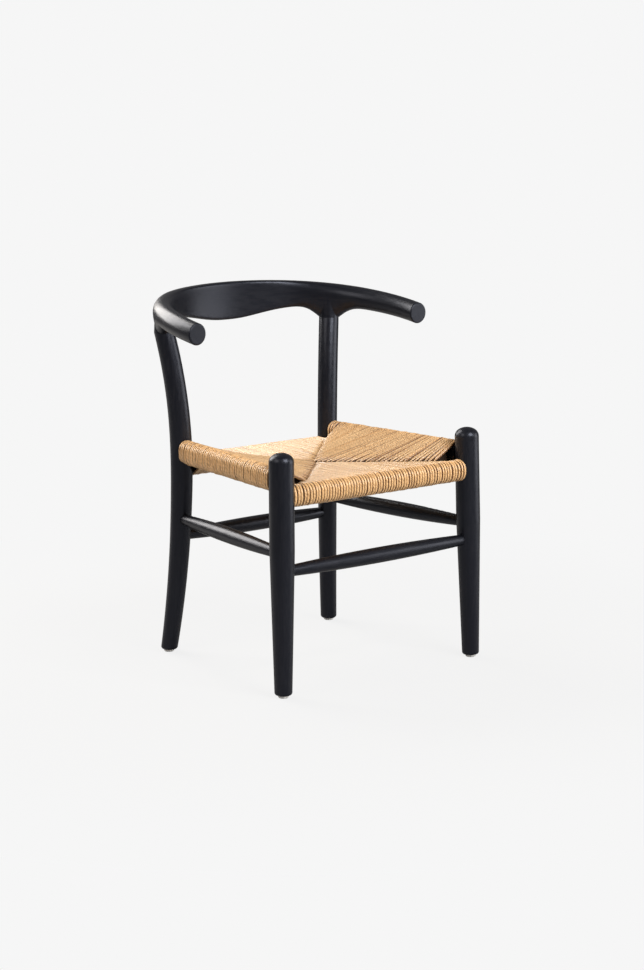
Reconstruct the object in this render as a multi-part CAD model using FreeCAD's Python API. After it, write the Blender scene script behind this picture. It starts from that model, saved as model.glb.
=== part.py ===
import FreeCAD
import Part
import math
import os
from FreeCAD import Vector

# Child's armchair: a black-stained frame of turned and carved wood with a woven cord seat.
# Millimetres. X runs to the right in a front view, Y to the back, Z up from the floor.
# The origin lies on the floor, under the middle of the chair's outline.

# Heights that set the size of the chair
BACK_TOP_HEIGHT = 534.0
SEAT_RAIL_HIGH_HEIGHT = 302.0

# Front legs, turned round, leaning a little outward and forward at the foot
FRONT_LEG_X = 170.0
FRONT_LEG_Y = -170.5
FRONT_LEG_RISE = 39.0
FRONT_LEG_HEIGHT = SEAT_RAIL_HIGH_HEIGHT + FRONT_LEG_RISE
FRONT_LEG_SPLAY = 4.7
FRONT_LEG_RAKE = 9.3
FRONT_LEG_DIAMETER = 35.0
FRONT_FOOT_DIAMETER = 25.0
FRONT_TAPER_HEIGHT = 205.0
FRONT_DOME_ROUND = 12.0
FRONT_DOME_TURN = 60.0

# Rear legs, each curved in an upright plane that is turned toward its own corner
REAR_LEG_X = 137.0
REAR_LEG_Y = 108.3
REAR_LEG_TURN = 45.0
REAR_WAIST_HEIGHT = 283.0
REAR_FOOT_KICK = 22.4
REAR_TOP_KICK = 23.0
RAIL_RISE = 59.0
REAR_LEG_HEIGHT = BACK_TOP_HEIGHT - RAIL_RISE
REAR_LEG_DEPTH = 32.5
REAR_LEG_WIDTH = 29.6
REAR_TOP_DIAMETER = 30.0
REAR_FOOT_DIAMETER = 24.5
REAR_TAPER_POWER = 1.4

# Rounded edge at all four feet
FOOT_ROUND = 4.0

# Top rail in plan: a back arc, two corner arcs over the rear legs and two arm arcs
BACK_RADIUS = 270.0
BACK_SWEEP = 20.5
CORNER_RADIUS = 156.0
CORNER_SWEEP = 46.0
ARM_RADIUS = 240.0
ARM_SWEEP = 25.8

# Top rail in section: a tall scooped backrest that thins into round arms
ARM_DROP = 28.0
BACK_HEIGHT = 57.0
BACK_THICKNESS = 23.0
BACK_SCOOP = 4.5
BACK_SQUARENESS = 3.4
ARM_DIAMETER = 30.0
BACK_HEIGHT_REACH = 90.0
BACK_HEIGHT_SHARPNESS = 2.4
BACK_THICKNESS_REACH = 130.0
BACK_THICKNESS_SHARPNESS = 6.0
NECK_SPREAD = 25.4
NECK_BITE = 7.0
NECK_TOP_DIAMETER = 27.0
ARM_END_ROUND = 2.0

# Dowel between each rear leg and the top rail
RAIL_DOWEL_DIAMETER = 10.0
RAIL_DOWEL_LENGTH = 40.0

# Stretchers: barrel-shaped, the side pair higher than the front and rear
STRETCHER_LOW_HEIGHT = 176.0
STRETCHER_HIGH_HEIGHT = 201.0
STRETCHER_MIDDLE_DIAMETER = 22.5
STRETCHER_END_DIAMETER = 16.0
STRETCHER_TENON_LENGTH = 20.0

# Seat rails: flat-sided with round edges, the side pair higher than the front and rear
SEAT_RAIL_STEP = 22.4
SEAT_RAIL_LOW_HEIGHT = SEAT_RAIL_HIGH_HEIGHT - SEAT_RAIL_STEP
SEAT_RAIL_DEPTH = 17.4
LOW_RAIL_THICKNESS = 23.2
HIGH_RAIL_THICKNESS = 26.2
SEAT_TENON_DIAMETER = 12.0
SEAT_TENON_LENGTH = 19.0

# Woven seat: one layer of cord round the rails, four panels meeting in a shallow hollow
CORD_DIAMETER = 4.3
SEAT_SAG = 4.5
SEAM_THICKNESS = 15.0
FRONT_SEAM_INSET_ACROSS = 25.0
FRONT_SEAM_INSET_BACK = 1.5
REAR_SEAM_INSET_ACROSS = 12.5
REAR_SEAM_INSET_FORWARD = 14.5
WRAP_COPE = 4.0
PANEL_LAP = 0.2

# Tacks for the two ends of the cord, on the inner faces of the side rails
TACK_SHANK_DIAMETER = 1.8
TACK_LENGTH = 11.0
TACK_HEAD_DIAMETER = 4.5
TACK_HEAD_HEIGHT = 1.0
TACK_START_SHARE = 0.2
TACK_END_SHARE = 0.5

# Nail-on glides under the four feet
GLIDE_DIAMETER = 15.0
GLIDE_HEIGHT = 3.5
GLIDE_BEVEL = 1.2
NAIL_DIAMETER = 2.2
NAIL_LENGTH = 17.0
NAIL_IN_GLIDE = 2.0

# Clearances
TENON_CLEARANCE = 0.1
BORE_END_CLEARANCE = 0.5
SHOULDER_CLEARANCE = 0.7
CORD_CLEARANCE = 0.3

SIDES = {"left": -1, "right": 1}
UP = Vector(0, 0, 1)
MARGIN = 50.0

# How finely the lofted forms are drawn
REAR_LEG_SECTIONS = 8
RAIL_SECTIONS = 24
RAIL_SECTION_POINTS = 16
SEARCH_STEPS = 40


def round_bar(start, direction, length, diameter):
    """A plain cylinder from a start point along a direction."""
    return Part.makeCylinder(diameter / 2, length, start, direction)


def stadium(width, height):
    """A flat-sided outline with half-round ends, centred, in the plane Z = 0, tall along Y."""
    radius = width / 2
    straight = height / 2 - radius
    corners = [
        Vector(radius, -straight, 0),
        Vector(radius, straight, 0),
        Vector(-radius, straight, 0),
        Vector(-radius, -straight, 0),
    ]
    edges = [
        Part.LineSegment(corners[0], corners[1]).toShape(),
        Part.Arc(corners[1], Vector(0, height / 2, 0), corners[2]).toShape(),
        Part.LineSegment(corners[2], corners[3]).toShape(),
        Part.Arc(corners[3], Vector(0, -height / 2, 0), corners[0]).toShape(),
    ]
    return Part.Wire(edges)


def upright_frame(origin, direction):
    """Placement whose Z runs along a level direction and whose Y stays upright."""
    return FreeCAD.Placement(origin, FreeCAD.Rotation(UP.cross(direction), UP, direction, "ZYX"))


def floor_block(height):
    """Everything below a height, to trim feet level."""
    reach = FRONT_LEG_X + REAR_LEG_X + MARGIN
    corner = Vector(-reach, -reach, height - MARGIN)
    return Part.makeBox(2 * reach, 2 * reach, MARGIN, corner)


# Front legs


def front_leg_axis(side, height):
    """Point on a front leg's leaning axis."""
    lean = (FRONT_LEG_HEIGHT - height) / FRONT_LEG_HEIGHT
    x = SIDES[side] * (FRONT_LEG_X + lean * FRONT_LEG_SPLAY)
    return Vector(x, FRONT_LEG_Y - lean * FRONT_LEG_RAKE, height)


def front_leg_blank(side, growth=0.0):
    """Turned leg: tapered foot, straight shaft and a domed top; growth thickens it all over."""
    foot = front_leg_axis(side, 0)
    axis = front_leg_axis(side, FRONT_LEG_HEIGHT) - foot
    radius = FRONT_LEG_DIAMETER / 2 + growth
    foot_radius = FRONT_FOOT_DIAMETER / 2 + growth
    top = Vector(0, 0, axis.Length + growth)
    turn = math.radians(FRONT_DOME_TURN)
    crown_radius = FRONT_DOME_ROUND + (radius - FRONT_DOME_ROUND) / math.cos(turn)
    crown_centre = top.z - crown_radius
    dome_start = crown_centre + (crown_radius - FRONT_DOME_ROUND) * math.sin(turn)

    def on_round(angle):
        x = radius - FRONT_DOME_ROUND * (1 - math.cos(angle))
        return Vector(x, 0, dome_start + FRONT_DOME_ROUND * math.sin(angle))

    def on_crown(angle):
        return Vector(crown_radius * math.cos(angle), 0, crown_centre + crown_radius * math.sin(angle))

    points = [
        Vector(0, 0, 0),
        Vector(foot_radius - FOOT_ROUND, 0, GLIDE_HEIGHT),
        Vector(foot_radius, 0, GLIDE_HEIGHT + FOOT_ROUND),
        Vector(radius, 0, FRONT_TAPER_HEIGHT),
        on_round(0),
        on_round(turn),
    ]
    sole = Vector(foot_radius - FOOT_ROUND, 0, 0)
    slant = FOOT_ROUND * math.sqrt(0.5)
    foot_middle = points[1] + Vector(slant, 0, FOOT_ROUND - slant)
    edges = [
        Part.LineSegment(points[0], sole).toShape(),
        Part.LineSegment(sole, points[1]).toShape(),
        Part.Arc(points[1], foot_middle, points[2]).toShape(),
        Part.LineSegment(points[2], points[3]).toShape(),
        Part.LineSegment(points[3], points[4]).toShape(),
        Part.Arc(points[4], on_round(turn / 2), points[5]).toShape(),
        Part.Arc(points[5], on_crown((turn + math.pi / 2) / 2), top).toShape(),
        Part.LineSegment(top, points[0]).toShape(),
    ]
    leg = Part.Face(Part.Wire(edges)).revolve(Vector(0, 0, 0), UP, 360)
    leg.Placement = FreeCAD.Placement(foot, FreeCAD.Rotation(UP, axis))
    return leg


# Rear legs


def rear_leg_offset(height):
    """How far a rear leg has swung out of its waist: two arcs, upright where they meet."""
    if height < REAR_WAIST_HEIGHT:
        reach = REAR_WAIST_HEIGHT
        kick = REAR_FOOT_KICK
    else:
        reach = REAR_LEG_HEIGHT - REAR_WAIST_HEIGHT
        kick = REAR_TOP_KICK
    radius = (reach ** 2 + kick ** 2) / (2 * kick)
    rise = height - REAR_WAIST_HEIGHT
    return radius - math.sqrt(radius ** 2 - rise ** 2)


def rear_leg_axis(side, height):
    """Point on a rear leg's curved axis."""
    turn = math.radians(REAR_LEG_TURN)
    offset = rear_leg_offset(height)
    x = SIDES[side] * (REAR_LEG_X + offset * math.cos(turn))
    return Vector(x, REAR_LEG_Y + offset * math.sin(turn), height)


def rear_leg_size(height):
    """Depth in the curve's plane and width across it."""
    if height < REAR_WAIST_HEIGHT:
        share = (1 - height / REAR_WAIST_HEIGHT) ** REAR_TAPER_POWER
        end = REAR_FOOT_DIAMETER
    else:
        share = (height - REAR_WAIST_HEIGHT) / (REAR_LEG_HEIGHT - REAR_WAIST_HEIGHT)
        end = REAR_TOP_DIAMETER
    depth = REAR_LEG_DEPTH + share * (end - REAR_LEG_DEPTH)
    width = REAR_LEG_WIDTH + share * (end - REAR_LEG_WIDTH)
    return depth, width


def rear_leg_blank(side, growth=0.0):
    """Curved leg, lofted through level ovals; growth thickens it all over."""
    turn = REAR_LEG_TURN if side == "right" else 180 - REAR_LEG_TURN
    ovals = []
    for index in range(REAR_LEG_SECTIONS + 1):
        height = REAR_LEG_HEIGHT * index / REAR_LEG_SECTIONS
        depth, width = rear_leg_size(height)
        oval = Part.Ellipse(Vector(0, 0, 0), depth / 2 + growth, width / 2 + growth).toShape()
        oval.rotate(Vector(0, 0, 0), UP, turn)
        oval.translate(rear_leg_axis(side, height))
        ovals.append(Part.Wire([oval]))
    blank = Part.makeLoft(ovals, True, False).cut(floor_block(GLIDE_HEIGHT))
    foot_edges = [edge for edge in blank.Edges if edge.BoundBox.ZMax < GLIDE_HEIGHT + FOOT_ROUND]
    return blank.makeFillet(FOOT_ROUND, foot_edges)


# Top rail


def rail_path_point(travel):
    """Plan point and heading of the rail's centre line, from the middle of the back to an arm's end."""
    back_end = math.radians(BACK_SWEEP)
    corner_end = back_end + math.radians(CORNER_SWEEP)
    arcs = [
        (BACK_RADIUS, 0.0, back_end),
        (CORNER_RADIUS, back_end, corner_end),
        (ARM_RADIUS, corner_end, corner_end + math.radians(ARM_SWEEP)),
    ]
    centre = Vector(0, -BACK_RADIUS, 0)
    left = travel
    for number, (radius, start, end) in enumerate(arcs):
        last = number == len(arcs) - 1
        heading = start + left / radius
        if heading <= end or last:
            break
        left -= radius * (end - start)
        step = radius - arcs[number + 1][0]
        centre = centre + Vector(math.sin(end), math.cos(end), 0) * step
    return centre + Vector(math.sin(heading), math.cos(heading), 0) * radius, heading


def rail_length():
    """Length of the centre line from the middle of the back to an arm's end."""
    return math.radians(1) * (
        BACK_RADIUS * BACK_SWEEP + CORNER_RADIUS * CORNER_SWEEP + ARM_RADIUS * ARM_SWEEP
    )


def rail_leg_travel():
    """Travel along the rail at which it crosses over a rear leg's top, found by halving."""
    target = rear_leg_axis("right", REAR_LEG_HEIGHT).x
    low = 0.0
    high = rail_length()
    for step in range(SEARCH_STEPS):
        middle = (low + high) / 2
        if rail_path_point(middle)[0].x < target:
            low = middle
        else:
            high = middle
    return low


def rail_shift():
    """How far back the plan curve moves, so that it passes over the rear legs' tops."""
    return rear_leg_axis("right", REAR_LEG_HEIGHT).y - rail_path_point(rail_leg_travel())[0].y


def fade(travel, reach, sharpness):
    """Falls from one at the middle of the back toward nothing at the arms."""
    return 1 / (1 + (travel / reach) ** sharpness)


def rail_top(travel):
    """Height of the rail's upper edge: a long fall from the back to the arms."""
    return BACK_TOP_HEIGHT - ARM_DROP * (travel / rail_length()) ** 2


def rail_height(travel):
    """Height of the section, without the necks."""
    tall = fade(travel, BACK_HEIGHT_REACH, BACK_HEIGHT_SHARPNESS)
    return ARM_DIAMETER + (BACK_HEIGHT - ARM_DIAMETER) * tall


def rail_neck(travel):
    """How far the underside is drawn down toward a leg, to just below the joint at its deepest."""
    leg_travel = rail_leg_travel()
    deepest = rail_top(leg_travel) - rail_height(leg_travel) - REAR_LEG_HEIGHT + NECK_BITE
    return deepest * math.exp(-((travel - leg_travel) / NECK_SPREAD) ** 2)


def signed_power(value, power):
    """A power that keeps the sign of its base."""
    return math.copysign(abs(value) ** power, value)


def rail_section(travel, side):
    """Closed outline of the rail, square to its centre line: a rounded oblong scooped on the inside."""
    point, heading = rail_path_point(travel)
    shift = rail_shift()
    thin = fade(travel, BACK_THICKNESS_REACH, BACK_THICKNESS_SHARPNESS)
    half_width = (ARM_DIAMETER + (BACK_THICKNESS - ARM_DIAMETER) * thin) / 2
    half_height = rail_height(travel) / 2
    power = 2 / (2 + (BACK_SQUARENESS - 2) * thin)
    middle = rail_top(travel) - half_height
    points = []
    for index in range(RAIL_SECTION_POINTS):
        angle = 2 * math.pi * index / RAIL_SECTION_POINTS
        lateral = signed_power(math.cos(angle), power) * half_width
        lateral += BACK_SCOOP * thin * min(math.cos(angle), 0) ** 2
        lift = signed_power(math.sin(angle), power)
        lift *= half_height if lift > 0 else half_height + rail_neck(travel)
        x = point.x + lateral * math.sin(heading)
        y = point.y + shift + lateral * math.cos(heading)
        points.append(Vector(SIDES[side] * x, y, middle + lift))
    curve = Part.BSplineCurve()
    knots = [index / RAIL_SECTION_POINTS for index in range(RAIL_SECTION_POINTS + 1)]
    curve.interpolate(Points=points, PeriodicFlag=True, Parameters=knots)
    return Part.Wire([curve.toShape()])


def rail_stations():
    """Evenly spaced travels of the sections of one half of the rail."""
    return [rail_length() * index / RAIL_SECTIONS for index in range(RAIL_SECTIONS + 1)]


def top_rail():
    """Backrest, necks and arms carved from one piece, cut level where the rear legs join."""
    stations = rail_stations()
    sections = [rail_section(travel, "left") for travel in reversed(stations[1:])]
    sections += [rail_section(travel, "right") for travel in stations]
    rail = Part.makeLoft(sections, True, False)
    arm_end = rail.BoundBox.YMin + ARM_END_ROUND
    end_edges = [edge for edge in rail.Edges if edge.BoundBox.YMax < arm_end]
    rail = rail.makeFillet(ARM_END_ROUND, end_edges)
    for side in SIDES:
        rail = rail.fuse(neck_column(side))
    rail = rail.cut(neck_underside())
    for side in SIDES:
        rail = rail.cut(rail_dowel_bore(side))
    return rail


def neck_column(side):
    """The leg's round form carried up into the rail."""
    foot = rear_leg_axis(side, REAR_LEG_HEIGHT)
    height = rail_top(rail_leg_travel()) - ARM_DIAMETER / 2 - REAR_LEG_HEIGHT
    return Part.makeCone(REAR_TOP_DIAMETER / 2, NECK_TOP_DIAMETER / 2, height, foot, UP)


def neck_underside():
    """Everything below the level joints, in one block round each leg's top."""
    blocks = []
    size = 2 * NECK_SPREAD
    for side in SIDES:
        foot = rear_leg_axis(side, REAR_LEG_HEIGHT)
        corner = foot - Vector(size / 2, size / 2, MARGIN)
        blocks.append(Part.makeBox(size, size, MARGIN, corner))
    return Part.makeCompound(blocks)


def rail_dowel_start(side):
    """Lower end of a dowel, half of which stands in the leg."""
    return rear_leg_axis(side, REAR_LEG_HEIGHT) - UP * (RAIL_DOWEL_LENGTH / 2)


def rail_dowel(side):
    """Plain round dowel."""
    return round_bar(rail_dowel_start(side), UP, RAIL_DOWEL_LENGTH, RAIL_DOWEL_DIAMETER)


def rail_dowel_bore(side):
    """Room for a dowel in the leg and in the rail."""
    start = rail_dowel_start(side) - UP * BORE_END_CLEARANCE
    length = RAIL_DOWEL_LENGTH + 2 * BORE_END_CLEARANCE
    return round_bar(start, UP, length, RAIL_DOWEL_DIAMETER + 2 * TENON_CLEARANCE)


# Cross members: each runs level between two leg axes


def cross_member_ends(name, low_height, high_height):
    """The two leg axes that a front, rear or side member runs between, and the legs' radii there."""
    height = high_height if name in SIDES else low_height
    front_radius = FRONT_LEG_DIAMETER / 2
    if height < FRONT_TAPER_HEIGHT:
        foot_radius = FRONT_FOOT_DIAMETER / 2
        taper = (FRONT_TAPER_HEIGHT - height) / (FRONT_TAPER_HEIGHT - GLIDE_HEIGHT - FOOT_ROUND)
        front_radius += taper * (foot_radius - front_radius)
    rear_radius = sum(rear_leg_size(height)) / 4
    if name == "front":
        ends = [front_leg_axis(side, height) for side in SIDES]
        return ends[0], ends[1], front_radius, front_radius
    if name == "rear":
        ends = [rear_leg_axis(side, height) for side in SIDES]
        return ends[0], ends[1], rear_radius, rear_radius
    return front_leg_axis(name, height), rear_leg_axis(name, height), front_radius, rear_radius


def member_bores(start, end, start_radius, end_radius, tenon_length, diameter):
    """Blind bores for the round ends of a member, one in each leg."""
    direction = (end - start).normalize()
    wide = diameter + 2 * TENON_CLEARANCE
    depth = tenon_length + BORE_END_CLEARANCE
    first = start + direction * (start_radius - depth)
    second = end - direction * (end_radius - depth)
    return [
        round_bar(first, direction, depth + MARGIN, wide),
        round_bar(second, direction * -1, depth + MARGIN, wide),
    ]


def stretcher_ends(name):
    """Leg axes and radii at the ends of a stretcher."""
    return cross_member_ends(name, STRETCHER_LOW_HEIGHT, STRETCHER_HIGH_HEIGHT)


def stretcher(name):
    """Turned barrel whose slim round ends go straight into the legs."""
    start, end, start_radius, end_radius = stretcher_ends(name)
    direction = (end - start).normalize()
    first = start_radius - STRETCHER_TENON_LENGTH
    last = (end - start).Length - end_radius + STRETCHER_TENON_LENGTH
    shoulder = start_radius
    far_shoulder = (end - start).Length - end_radius
    slim = STRETCHER_END_DIAMETER / 2
    middle = Vector(STRETCHER_MIDDLE_DIAMETER / 2, 0, (shoulder + far_shoulder) / 2)
    edges = [
        Part.LineSegment(Vector(0, 0, first), Vector(slim, 0, first)).toShape(),
        Part.LineSegment(Vector(slim, 0, first), Vector(slim, 0, shoulder)).toShape(),
        Part.Arc(Vector(slim, 0, shoulder), middle, Vector(slim, 0, far_shoulder)).toShape(),
        Part.LineSegment(Vector(slim, 0, far_shoulder), Vector(slim, 0, last)).toShape(),
        Part.LineSegment(Vector(slim, 0, last), Vector(0, 0, last)).toShape(),
        Part.LineSegment(Vector(0, 0, last), Vector(0, 0, first)).toShape(),
    ]
    bar = Part.Face(Part.Wire(edges)).revolve(Vector(0, 0, 0), UP, 360)
    bar.Placement = upright_frame(start, direction)
    return bar


def stretcher_bores(name):
    """Bores in the legs for a stretcher."""
    return member_bores(*stretcher_ends(name), STRETCHER_TENON_LENGTH, STRETCHER_END_DIAMETER)


def seat_rail_ends(name):
    """Leg axes and radii at the ends of a seat rail."""
    return cross_member_ends(name, SEAT_RAIL_LOW_HEIGHT, SEAT_RAIL_HIGH_HEIGHT)


def seat_rail_thickness(name):
    """Upright size of a seat rail."""
    return HIGH_RAIL_THICKNESS if name in SIDES else LOW_RAIL_THICKNESS


def seat_rail_body(name, growth=0.0, longer=0.0):
    """Flat-sided bar with round edges between two legs' surfaces."""
    start, end, start_radius, end_radius = seat_rail_ends(name)
    direction = (end - start).normalize()
    first = start + direction * (start_radius + SHOULDER_CLEARANCE - longer)
    length = (end - start).Length - start_radius - end_radius - 2 * SHOULDER_CLEARANCE + 2 * longer
    outline = stadium(SEAT_RAIL_DEPTH + 2 * growth, seat_rail_thickness(name) + 2 * growth)
    body = Part.Face(outline).extrude(Vector(0, 0, length))
    body.Placement = upright_frame(first, direction)
    return body


def seat_rail(name):
    """Bar with a round tenon at each end."""
    start, end, start_radius, end_radius = seat_rail_ends(name)
    direction = (end - start).normalize()
    first = start + direction * (start_radius - SEAT_TENON_LENGTH)
    length = (end - start).Length - start_radius - end_radius + 2 * SEAT_TENON_LENGTH
    rail = seat_rail_body(name).fuse(round_bar(first, direction, length, SEAT_TENON_DIAMETER))
    if name in SIDES:
        rail = rail.cut(tack_shank(name, TENON_CLEARANCE))
    return rail.removeSplitter()


def seat_rail_bores(name):
    """Bores in the legs for a seat rail's tenons."""
    return member_bores(*seat_rail_ends(name), SEAT_TENON_LENGTH, SEAT_TENON_DIAMETER)


# Tacks for the cord ends


def tack_place(side):
    """Point on a side rail's inner face, and the direction that points out of it."""
    start, end = seat_rail_ends(side)[:2]
    along = (end - start).normalize()
    share = TACK_START_SHARE if side == "left" else TACK_END_SHARE
    inward = along.cross(UP) * -SIDES[side]
    return start + (end - start) * share + inward * (SEAT_RAIL_DEPTH / 2), inward


def tack_shank(side, growth=0.0):
    """The part of a tack that is driven into the rail."""
    face, inward = tack_place(side)
    length = TACK_LENGTH - TACK_HEAD_HEIGHT + growth
    return round_bar(face, inward * -1, length, TACK_SHANK_DIAMETER + 2 * growth)


def tack_head(side, growth=0.0):
    """The flat head that holds the cord."""
    face, inward = tack_place(side)
    return round_bar(face, inward, TACK_HEAD_HEIGHT + growth, TACK_HEAD_DIAMETER + 2 * growth)


# Woven seat


def tangent_point(tip, centre, radius, turn):
    """Point where a straight line from a tip touches a circle, in a plane of two numbers."""
    away = (tip[0] - centre[0], tip[1] - centre[1])
    distance = math.hypot(*away)
    angle = math.atan2(away[1], away[0]) + turn * math.acos(radius / distance)
    return centre[0] + radius * math.cos(angle), centre[1] + radius * math.sin(angle)


def panel_section(name, rail_centre, tip, seam_top, to_point):
    """Outline of a panel: straight lines above and below, from just inside the wrap to the seam."""
    radius = SEAT_RAIL_DEPTH / 2 + CORD_DIAMETER - PANEL_LAP
    straight = seat_rail_thickness(name) / 2 - SEAT_RAIL_DEPTH / 2
    inward = math.copysign(1, tip - rail_centre[0])
    upper = (rail_centre[0], rail_centre[1] + straight)
    lower = (rail_centre[0], rail_centre[1] - straight)
    tip_top = (tip, seam_top)
    tip_bottom = (tip, seam_top - SEAM_THICKNESS)
    touch_top = tangent_point(tip_top, upper, radius, inward)
    touch_bottom = tangent_point(tip_bottom, lower, radius, -inward)
    corners = [to_point(*spot) for spot in (tip_top, touch_top, touch_bottom, tip_bottom)]
    return Part.makePolygon(corners + corners[:1])


def seat_middle():
    """Plan point where the four panels meet."""
    front = seat_rail_ends("front")[0]
    rear = seat_rail_ends("rear")[0]
    return Vector(0, (front.y + rear.y) / 2, 0)


def seam_corner(end):
    """Plan point, on the right, where a seam starts, a little way from the angle of leg and rails."""
    rail_end, radius = seat_rail_ends(end)[1:3]
    angle = Vector(rail_end.x - radius, rail_end.y, 0)
    if end == "front":
        return angle + Vector(-FRONT_SEAM_INSET_ACROSS, radius + FRONT_SEAM_INSET_BACK, 0)
    return angle - Vector(REAR_SEAM_INSET_ACROSS, radius + REAR_SEAM_INSET_FORWARD, 0)


def seam_heights():
    """Top of the seams at the corners and at the middle."""
    corner = SEAT_RAIL_LOW_HEIGHT + LOW_RAIL_THICKNESS / 2 + CORD_DIAMETER
    return corner, corner - SEAT_SAG


def plane_square_to_x(x):
    """Turns a pair (y, z) into a point of the upright plane at x."""
    return lambda y, z: Vector(x, y, z)


def plane_square_to_y(y, sign):
    """Turns a pair (distance from the middle, z) into a point of the upright plane at y."""
    return lambda x, z: Vector(sign * x, y, z)


def cross_panel(name):
    """Front or rear panel: strands run fore and aft, sections stand square to X.

    The rear panel goes on under the side panels as far as the side rails."""
    corner = seam_corner(name)
    middle = seat_middle()
    corner_top, middle_top = seam_heights()
    rail_end = seat_rail_ends(name)[1]
    stations = [-corner.x, 0.0, corner.x]
    if name == "rear":
        reach = rail_end.x - SEAT_RAIL_DEPTH / 2
        stations = [-reach] + stations + [reach]
    sections = []
    for x in stations:
        tip = middle.y if x == 0 else corner.y
        top = middle_top if x == 0 else corner_top
        centre = (rail_end.y, SEAT_RAIL_LOW_HEIGHT)
        sections.append(panel_section(name, centre, tip, top, plane_square_to_x(x)))
    return Part.makeLoft(sections, True, True)


def side_panel(side):
    """Side panel: strands run across, from the higher side rail down to the seams."""
    front = seam_corner("front")
    rear = seam_corner("rear")
    middle = seat_middle()
    corner_top, middle_top = seam_heights()
    start, end = seat_rail_ends(side)[:2]
    sections = []
    for y, tip, top in (
        (front.y, front.x, corner_top),
        (middle.y, 0.0, middle_top),
        (rear.y, rear.x, corner_top),
    ):
        share = (y - start.y) / (end.y - start.y)
        centre = (abs(start.x + (end.x - start.x) * share), SEAT_RAIL_HIGH_HEIGHT)
        sections.append(panel_section(side, centre, tip, top, plane_square_to_y(y, SIDES[side])))
    return Part.makeLoft(sections, True, True)


def woven_seat():
    """One cord cover: wraps round the rails and four panels joined at their seams, clear of the legs."""
    names = ("front", "rear", "left", "right")
    panels = [cross_panel("front"), cross_panel("rear"), side_panel("left"), side_panel("right")]
    wraps = [seat_rail_body(name, CORD_DIAMETER, WRAP_COPE) for name in names]
    seat = panels[0].fuse(panels[1:] + wraps)
    tools = [seat_rail_body(name, CORD_CLEARANCE, MARGIN) for name in names]
    tools += [front_leg_blank(side, CORD_CLEARANCE) for side in SIDES]
    tools += [rear_leg_blank(side, CORD_CLEARANCE) for side in SIDES]
    tools += [tack_head(side, CORD_CLEARANCE) for side in SIDES]
    return seat.cut(tools)


# Glides and their nails


def foot_axis(end, side):
    """Point on a leg's axis at the level of its foot."""
    if end == "front":
        return front_leg_axis(side, GLIDE_HEIGHT)
    return rear_leg_axis(side, GLIDE_HEIGHT)


def glide_nail(end, side, growth=0.0):
    """Round nail, its lower end fast in the glide."""
    start = foot_axis(end, side) - UP * (NAIL_IN_GLIDE + growth)
    return round_bar(start, UP, NAIL_LENGTH + 2 * growth, NAIL_DIAMETER + 2 * growth)


def foot_glide(end, side):
    """Shallow plastic button with a bevelled rim."""
    centre = foot_axis(end, side) - UP * GLIDE_HEIGHT
    button = Part.makeCylinder(GLIDE_DIAMETER / 2, GLIDE_HEIGHT, centre, UP)
    rim = [edge for edge in button.Edges if edge.BoundBox.ZMax < GLIDE_HEIGHT / 2]
    return button.makeChamfer(GLIDE_BEVEL, rim).cut(glide_nail(end, side, TENON_CLEARANCE))


# Legs with all their bores


def leg(end, side):
    """A leg blank trimmed level at its foot and bored for the members that enter it."""
    blank = front_leg_blank(side) if end == "front" else rear_leg_blank(side)
    tools = [floor_block(GLIDE_HEIGHT), glide_nail(end, side, TENON_CLEARANCE)]
    cross_end = 0 if side == "left" else 1
    side_end = 0 if end == "front" else 1
    for bores in (stretcher_bores, seat_rail_bores):
        tools.append(bores(end)[cross_end])
        tools.append(bores(side)[side_end])
    if end == "rear":
        tools.append(rail_dowel_bore(side))
    return blank.cut(tools)


def build():
    """Every piece of the chair under its own name."""
    pieces = {"top_rail": top_rail(), "woven_seat": woven_seat()}
    for side in SIDES:
        pieces[f"rail_dowel_{side}"] = rail_dowel(side)
        for end in ("front", "rear"):
            pieces[f"{end}_leg_{side}"] = leg(end, side)
            pieces[f"foot_glide_{end}_{side}"] = foot_glide(end, side)
    for name in ("front", "rear", "left", "right"):
        pieces[f"stretcher_{name}"] = stretcher(name)
        pieces[f"seat_rail_{name}"] = seat_rail(name)
    tacks = [tack_shank(side).fuse(tack_head(side)) for side in SIDES]
    pieces["cord_tacks"] = Part.makeCompound(tacks)
    nails = [glide_nail(end, side) for end in ("front", "rear") for side in SIDES]
    pieces["glide_nails"] = Part.makeCompound(nails)
    return pieces


os.makedirs("parts", exist_ok=True)
for node, shape in build().items():
    shape.exportStep(f"parts/{node}.step")
    print(node, len(shape.Solids), shape.isValid(), round(shape.Volume))
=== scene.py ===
import math

import bmesh
import bpy
from mathutils import Matrix, Vector


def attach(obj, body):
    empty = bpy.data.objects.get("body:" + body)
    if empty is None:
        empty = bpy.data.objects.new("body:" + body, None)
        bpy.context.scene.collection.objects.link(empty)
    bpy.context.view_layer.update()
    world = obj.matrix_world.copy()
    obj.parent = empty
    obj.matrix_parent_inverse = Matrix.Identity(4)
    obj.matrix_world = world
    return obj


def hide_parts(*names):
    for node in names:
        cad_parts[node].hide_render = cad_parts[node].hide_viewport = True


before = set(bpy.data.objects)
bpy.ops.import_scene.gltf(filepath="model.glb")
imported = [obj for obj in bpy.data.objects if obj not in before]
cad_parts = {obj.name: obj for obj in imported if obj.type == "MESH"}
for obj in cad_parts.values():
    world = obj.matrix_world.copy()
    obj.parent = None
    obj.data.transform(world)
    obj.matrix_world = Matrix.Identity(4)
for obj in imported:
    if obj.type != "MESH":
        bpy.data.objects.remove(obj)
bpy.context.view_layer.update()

# Lengths are in metres, and the chair's front looks along -Y.

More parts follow.
